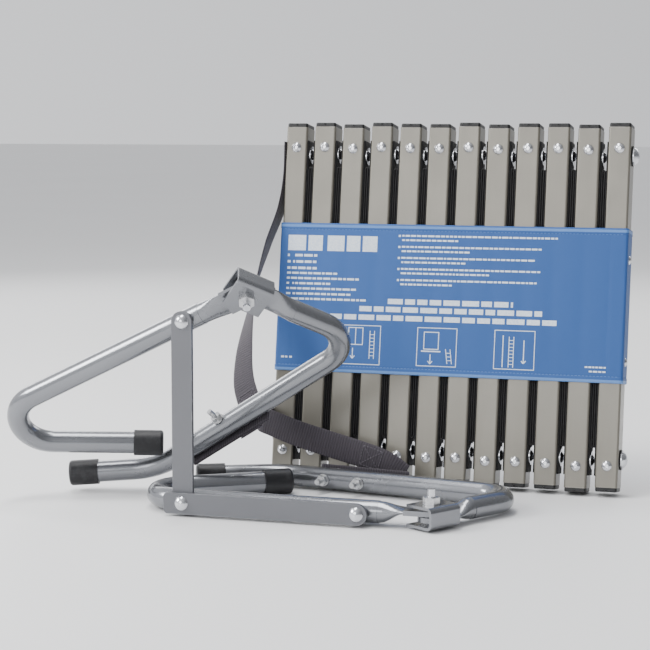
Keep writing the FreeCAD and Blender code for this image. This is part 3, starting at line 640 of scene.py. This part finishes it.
def make_pad(name, shades):
    """The strap's doubled end: two layers with a turned-over fold, sewn round and bolted to the tube."""
    body = HOOKS[name][3]
    layer = PAD_THICK / 2 - 0.05
    low = TUBE_RADIUS + 0.05 + layer / 2
    high = low + layer + 0.05
    turn = (high - low) / 2
    end = PAD_END - layer / 2 - turn
    line = [(PAD_START + 0.5, low), (PAD_START + 30, low), (end - 8, low), (end, low)]
    line += [(end + turn * math.sin(a), low + turn - turn * math.cos(a)) for a in (0.8, 1.57, 2.34)]
    line += [(end, high), (end - 8, high), (PAD_START + 30, high), (PAD_START + 2, high)]
    points = [hook_spot(name, x, y, 0)[0] for x, y in line]
    centres, stations, length = smooth_line(points, 0.0005)
    sides = np.tile(np.array(hook_spot(name, 0, 0, 0)[1]), (len(centres), 1))
    rows, places = strip_rows(centres, sides, stations, PAD_WIDTH * MM, layer * MM, 0.0022, 0.00012)
    faces = Faces()
    faces.grid(rows, places=places)
    pad = faces.made(name + "_strap_pad", shades["webbing"])
    seams = Faces()
    flat = [hook_spot(name, x, high + 0.02, 0)[0] for x in (PAD_START, PAD_END)]
    strip = Strip([np.array(p) for p in flat], sides[:2], [0.0, (PAD_END - PAD_START) * MM], layer * MM)
    outward = np.array(hook_spot(name, 0, 1, 0)[0] - hook_spot(name, 0, 0, 0)[0])
    face = 1 if np.dot(strip.out[0], outward) > 0 else -1
    for low_mark, high_mark in ((0.006, 0.034), (0.054, 0.070), (0.074, 0.088)):
        strip.box_stitches(seams, 0.0088, low_mark, high_mark, face)
    stitching = seams.made(name + "_pad_stitching", shades["thread"])
    for piece in (pad, stitching):
        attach(piece, body)
    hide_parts(name + "_hook_strap_pad")


# ---------------------------------------------------------------- webbing folded between the rungs

WEB_THICK = 1.6
WEB_WIDTH = 21.0
WEB_END = 14.0
SIDE_RIVET_INSET = 30.0


def turn_points(x, z, radius, heading):
    """Half a turn round (x, z), from its left to its right, upwards for a heading of 1."""
    angles = [math.radians(a) for a in (0, 45, 90, 135, 180)]
    return [(x - radius * math.cos(a), z + heading * radius * math.sin(a)) for a in angles]


def fold_line(number, upper, slack):
    """The webbing in one gap: out beside one rung, back, out again and back beside the next."""
    left = rung_x(number) + RUNG_WIDTH / 2 + WEB_THICK / 2
    right = rung_x(number + 1) - RUNG_WIDTH / 2 - WEB_THICK / 2
    spacing = (right - left) / 3
    middle = (left + right) / 2
    side = -1 if upper else 1
    end = RUNG_LENGTH - SIDE_RIVET_INSET + WEB_END if upper else SIDE_RIVET_INSET - WEB_END
    far = RUNG_LENGTH / 2 - side * (8 + slack)
    near = end + side * (2 * WEB_END - 1.5 + slack / 2)
    sway = 0.10 * math.sin(number * 2.1)
    straight = [0.15, 0.4, 0.6, 0.85]
    line = [(left, end)]
    line += [(left + sway * math.sin(6 * share), end + (far - end) * share) for share in straight]
    line += turn_points(left + spacing / 2, far, spacing / 2, side)
    line += [(left + spacing, far + (near - far) * share) for share in straight]
    line += turn_points(middle, near, spacing / 2, -side)
    line += [(right - spacing, near + (far - near) * share) for share in straight]
    line += turn_points(right - spacing / 2, far, spacing / 2, side)
    line += [(right + sway * math.sin(6 * share), far + (end - far) * share) for share in straight]
    return line + [(right, end)]


# The trimmed end's outline: how far out and how far from the rung's face, in millimetres
DISC_PROFILE = ((0.2, 0.02), (9.1, 0.02), (9.4, 0.25), (9.5, 0.8), (9.4, 1.35), (9.1, 1.58), (0.2, 1.58))


def end_disc(faces, upper):
    """The webbing's trimmed end under the last rivet."""
    lift = 0.9 * (1 + math.sin(2.4 * (RUNG_COUNT - 1)))
    level = (RUNG_LENGTH - SIDE_RIVET_INSET if upper else SIDE_RIVET_INSET) + lift
    face = rung_x(RUNG_COUNT - 1) + RUNG_WIDTH / 2
    rows = []
    places = []
    for radius, off in DISC_PROFILE:
        angles = [2 * math.pi * k / 40 for k in range(40)]
        spots = [(radius * math.cos(a), radius * math.sin(a)) for a in angles]
        rows.append([in_stack(face + off, RUNG_DEPTH / 2 + y, level + z) for y, z in spots])
        places.append([(y * MM, z * MM) for y, z in spots])
    faces.grid(rows, places=places)


def make_folds(upper, shades):
    draws = random.Random(41 if upper else 43)
    faces = Faces()
    for number in range(RUNG_COUNT - 1):
        line = fold_line(number, upper, draws.uniform(0.0, 3.0))
        spots = [in_stack(x, RUNG_DEPTH / 2, z) for x, z in line]
        centres, stations, length = smooth_line(spots, 0.0015)
        sides = np.tile(RUNG_BACK, (len(centres), 1))
        rows, places = strip_rows(
            centres, sides, stations, WEB_WIDTH * MM, WEB_THICK * MM, 0.0045, 0.00012, 8)
        faces.grid(rows, places=places)
    end_disc(faces, upper)
    name = "top" if upper else "bottom"
    # Its finish is painted shade: near-black webbing.
    folds = faces.made("folded_webbing_" + name, shades["fold"])
    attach(folds, "stack")
    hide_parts("web_folds_" + name)


# ---------------------------------------------------------------- printed sleeve

SLEEVE_BOTTOM = 102.0
SLEEVE_TOP = 246.0
SLEEVE_HALF = 169.65
SLEEVE_FRONT = -1.3
SLEEVE_BACK = RUNG_DEPTH + 1.3
SLEEVE_CORNER = 2.6
SLEEVE_CLOTH = 0.75
HEM = 6.0


def sleeve_dent(x, z):
    """How far the cloth sinks between rungs and sways, in millimetres."""
    gap = 0.5 - 0.5 * math.cos(2 * math.pi * (x / RUNG_PITCH))
    inside = 1.0 if abs(x) < SLEEVE_HALF - 14 else 0.0
    sway = 0.10 * math.sin(x / 37.0 + z / 19.0) + 0.08 * math.sin(x / 13.0 - z / 41.0)
    middle = math.sin(math.pi * (z - SLEEVE_BOTTOM) / (SLEEVE_TOP - SLEEVE_BOTTOM))
    return inside * 0.30 * gap ** 2 * (0.4 + 0.6 * middle) + (0.12 + sway) * middle


def sleeve_ring(inset):
    """Points round the sleeve with their outward directions."""
    half = SLEEVE_HALF - inset
    front, back = SLEEVE_FRONT + inset, SLEEVE_BACK - inset
    radius = SLEEVE_CORNER - inset
    corners = [((half - radius, front + radius), -90), ((half - radius, back - radius), 0),
               ((-half + radius, back - radius), 90), ((-half + radius, front + radius), 180)]
    counts = (12, 180, 12, 180)
    ring = []
    for number, ((x, y), begin) in enumerate(corners):
        for step in range(7):
            angle = math.radians(begin + 15.0 * step)
            away = (math.cos(angle), math.sin(angle))
            ring.append((x + radius * away[0], y + radius * away[1]) + away)
        (next_x, next_y), turn = corners[(number + 1) % 4]
        angle = math.radians(begin + 90)
        out = (math.cos(angle), math.sin(angle))
        first = (x + radius * out[0], y + radius * out[1])
        last = (next_x + radius * out[0], next_y + radius * out[1])
        for step in range(1, counts[number]):
            share = step / counts[number]
            ring.append(tuple(a + (b - a) * share for a, b in zip(first, last)) + out)
    return ring


def hem_lift(z):
    """The doubled hem stands proud, with a sunk line where it is sewn."""
    edge = min(z - SLEEVE_BOTTOM, SLEEVE_TOP - z)
    if edge > HEM + 0.8:
        return 0.0
    sunk = 0.22 * math.exp(-((edge - HEM) / 0.5) ** 2)
    return (0.32 if edge < HEM else 0.0) * min(edge / 0.8, 1.0) - sunk


def in_hem_band(level):
    """The paler bands: the sleeve's bottom edge, and a band just under its top edge."""
    return level - SLEEVE_BOTTOM < 2.6 or 1.6 < SLEEVE_TOP - level < 4.2


def make_sleeve(shades):
    levels = [SLEEVE_BOTTOM, SLEEVE_BOTTOM + 0.15, SLEEVE_BOTTOM + 0.5]
    levels += [SLEEVE_BOTTOM + 1 + 0.5 * k for k in range(14)]
    levels += [SLEEVE_BOTTOM + 8 + 2 * k for k in range(65)]
    levels += [SLEEVE_TOP - 7.5 + 0.5 * k for k in range(14)]
    levels += [SLEEVE_TOP - 0.5, SLEEVE_TOP - 0.15, SLEEVE_TOP]
    outer = sleeve_ring(0.0)
    inner = sleeve_ring(SLEEVE_CLOTH)
    faces = Faces()
    count = len(outer)
    rows = []
    places = []
    for level in levels:
        edge = min(level - SLEEVE_BOTTOM, SLEEVE_TOP - level)
        tuck = max(0.0, 0.3 - edge)
        rows.append([sleeve_point(spot, level, hem_lift(level) - tuck) for spot in outer])
        places.append([(abs(spot[0] + SLEEVE_HALF) * MM, level * MM) for spot in outer])
    for level in reversed(levels):
        edge = min(level - SLEEVE_BOTTOM, SLEEVE_TOP - level)
        tuck = max(0.0, 0.2 - edge) * 0.5
        rows.append([sleeve_point(spot, level, tuck) for spot in inner])
        places.append([(abs(spot[0] + SLEEVE_HALF) * MM, level * MM) for spot in inner])
    faces.grid(rows, cap=False, places=places)
    last = (len(rows) - 1) * count
    for k in range(count):
        after = (k + 1) % count
        faces.faces.append((last + k, last + after, after, k))
    sleeve = faces.made("printed_sleeve", shades["sleeve"])
    sleeve.data.materials.append(shades["hem"])
    for polygon in sleeve.data.polygons:
        row = polygon.vertices[0] // count
        if row < len(levels) and in_hem_band(levels[row]):
            polygon.material_index = 1
    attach(sleeve, "stack")
    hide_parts("label_sleeve")
    return sleeve, make_hem_stitches(shades)


def sleeve_point(spot, level, lift):
    """A point of the sleeve's cloth; the front and back sink a little between the rungs."""
    x, y, out_x, out_y = spot
    sink = sleeve_dent(x, level) * abs(out_y) ** 3
    return in_stack(x + out_x * lift, y + out_y * (lift - sink), level)


def sleeve_front(x, z, proud):
    return in_stack(x, SLEEVE_FRONT + sleeve_dent(x, z) - hem_lift(z) - proud, z)


def make_hem_stitches(shades):
    faces = Faces()
    outward = np.array((0.0, -math.cos(LEAN), math.sin(LEAN)))
    reach = SLEEVE_HALF - 4
    count = int(2 * reach / 3.4)
    for level in (SLEEVE_BOTTOM + HEM, SLEEVE_TOP - HEM):
        for number in range(count):
            x = -reach + 2 * reach * number / count
            front = [sleeve_front(x + dx, level, 0.02) for dx in (0.0, 2.5)]
            capsule(faces, *front, 0.00024, outward)
            behind = SLEEVE_BACK - sleeve_dent(x, level) + 0.02
            back = [in_stack(x + dx, behind, level) for dx in (0.0, 2.5)]
            capsule(faces, *back, 0.00024, -outward)
    stitches = faces.made("sleeve_hem_stitching", shades["hem"])
    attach(stitches, "stack")
    return stitches


# ---------------------------------------------------------------- generic print on the sleeve

PRINT_PROUD = 0.06
PRINT_THICK = 0.10


def print_bar(faces, x0, z0, x1, z1):
    """A flat printed patch that follows the cloth, between two opposite corners."""
    steps = max(int(abs(x1 - x0) / 4.0), 1)
    rows = []
    for number in range(steps + 1):
        x = x0 + (x1 - x0) * number / steps
        rows.append([sleeve_front(x, z1, PRINT_PROUD), sleeve_front(x, z0, PRINT_PROUD),
                     sleeve_front(x, z0, PRINT_PROUD - PRINT_THICK),
                     sleeve_front(x, z1, PRINT_PROUD - PRINT_THICK)])
    faces.grid(rows)


def print_line(faces, draws, x0, x1, z, height, word=(2.5, 7.5), gap=1.1):
    """A line of plain dashes in place of small print."""
    x = x0
    while x < x1 - 1.5:
        end = min(x + draws.uniform(*word) * height / 2.0, x1)
        print_bar(faces, x, z, end, z - height)
        x = end + gap * height / 2.0


def print_outline(faces, x0, z0, x1, z1, line):
    """A rectangle's outline, given by its upper left and lower right corners."""
    print_bar(faces, x0, z1 + line, x1, z1)
    print_bar(faces, x0, z0, x1, z0 - line)
    print_bar(faces, x0, z0 - line, x0 + line, z1 + line)
    print_bar(faces, x1 - line, z0 - line, x1, z1 + line)


def print_rail(faces, x0, z0, x1, z1, line):
    """A straight stroke between two points."""
    steps = max(int(math.hypot(x1 - x0, z1 - z0) / 3.0), 1)
    length = math.hypot(x1 - x0, z1 - z0)
    off_x, off_z = -(z1 - z0) / length * line / 2, (x1 - x0) / length * line / 2
    rows = []
    for number in range(steps + 1):
        x = x0 + (x1 - x0) * number / steps
        z = z0 + (z1 - z0) * number / steps
        edges = ((x + off_x, z + off_z), (x - off_x, z - off_z))
        rows.append([sleeve_front(*spot, PRINT_PROUD) for spot in edges]
                    + [sleeve_front(*spot, PRINT_PROUD - PRINT_THICK) for spot in reversed(edges)])
    faces.grid(rows)


def print_ladder(faces, x, low, high, slant=0.0):
    """A small ladder: two rails and its rungs."""
    for side in (-2.2, 2.2):
        print_rail(faces, x + side + slant, low, x + side, high, 0.7)
    count = int((high - low) / 3.2)
    for number in range(1, count):
        z = low + (high - low) * number / count
        lean = slant * (1 - number / count)
        print_bar(faces, x - 2.2 + lean, z, x + 2.2 + lean, z - 0.6)


def print_arrow(faces, x, low, high):
    """An arrow that points down."""
    print_rail(faces, x, high, x, low, 0.9)
    print_rail(faces, x - 2.2, low + 2.6, x, low, 0.9)
    print_rail(faces, x + 2.2, low + 2.6, x, low, 0.9)


def print_pictograms(faces):
    """Three framed pictures: a window and a ladder, a sill and a ladder, and a wall and a ladder."""
    for x, z, half in ((-83, 129.2, 19.0), (-8, 129.5, 18.5), (67, 129.5, 18.5)):
        print_outline(faces, x - 19.5, z + half, x + 19.5, z - half, 0.7)
    print_outline(faces, -96, 146, -81, 129, 0.8)
    print_rail(faces, -88.5, 146, -88.5, 129, 0.8)
    print_ladder(faces, -72, 116, 143)
    print_arrow(faces, -91, 116, 126)
    print_outline(faces, -21, 144, -6, 127, 0.8)
    print_bar(faces, -23, 126, -4, 124.8)
    print_ladder(faces, 3, 114, 128, 2.0)
    print_arrow(faces, -14, 113.5, 122.5)
    print_rail(faces, 56, 143, 56, 113, 0.9)
    print_ladder(faces, 64, 113, 142)
    print_arrow(faces, 76, 117, 139)


def make_print(shades):
    """A title of plain blocks, lines of dashes and three pictures."""
    draws = random.Random(17)
    faces = Faces()
    for x0, x1 in ((-161, -143), (-140.5, -126), (-121, -104), (-101.5, -88), (-85.5, -71)):
        print_bar(faces, x0, 234.0, x1, 219.0)
    for row in range(3):
        print_line(faces, draws, -161, -131, 215.5 - 6.2 * row, 2.4)
    for row, reach in enumerate((-110, -88, -115, -89, -95, -80)):
        print_line(faces, draws, -161, reach, 198.0 - 5.0 * row, 2.0)
    for block in range(5):
        top = 236.0 - 10.6 * block
        print_bar(faces, -50.0, top - 0.1, -47.9, top - 2.1)
        print_line(faces, draws, -46.5, draws.uniform(84, 106), top, 1.7)
        print_line(faces, draws, -46.5, draws.uniform(-10, 60), top - 4.2, 1.7)
    for z, x0, x1 in ((174.3, -58, 64), (166.6, -86, 92), (158.4, -115, 106)):
        print_line(faces, draws, x0, x1, z, 5.0, word=(3.2, 6.8), gap=0.9)
    print_pictograms(faces)
    print_line(faces, draws, -163, -152, 116, 1.8)
    print_line(faces, draws, 134, 154, 117, 1.5)
    print_line(faces, draws, 138, 154, 113, 1.5)
    art = faces.made("sleeve_print", shades["ink"], smooth=False)
    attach(art, "stack")
    return art


# ---------------------------------------------------------------- finishes of the CAD nodes

def dress_nodes(shades):
    """Each CAD node gets its finish by the words in its name, the first match counting."""
    rules = (
        ("rung_caps", "rung_cap"), ("rung_", "rung"), ("front_bolts", "bolt"), ("side_rivets", "bolt"),
        ("sleeve_rivets", "bolt"), ("tube", "tube"), ("bracket", "tube"), ("_cap", "tube_cap"),
        ("spreader_bar", "bar"), ("bar_rivet", "bolt"), ("bar_bolt", "bolt"), ("pivot_bolt", "bolt"),
        ("nut", "zinc"), ("bolt", "zinc"), ("spacer", "zinc"), ("label_sleeve", "sleeve"),
        ("strap", "webbing"), ("web_folds", "fold"))
    for name, piece in nodes.items():
        finish = next(finish for word, finish in rules if word in name)
        piece.data.materials.clear()
        piece.data.materials.append(shades[finish])


def make_floor(shades):
    faces = Faces()
    faces.points = [(-20, -20, 0), (20, -20, 0), (20, 20, 0), (-20, 20, 0)]
    faces.places = [(0, 0)] * 4
    faces.faces = [(0, 1, 2, 3)]
    faces.made("floor", shades["floor"])


make_camera()
make_lights()
finishes = make_materials()
make_floor(finishes)
dress_nodes(finishes)
make_upper_strap(finishes)
make_lower_strap(finishes)
for hook in HOOKS:
    make_pad(hook, finishes)
for upper_row in (True, False):
    make_folds(upper_row, finishes)
cloth, hem_stitching = make_sleeve(finishes)
printing = make_print(finishes)
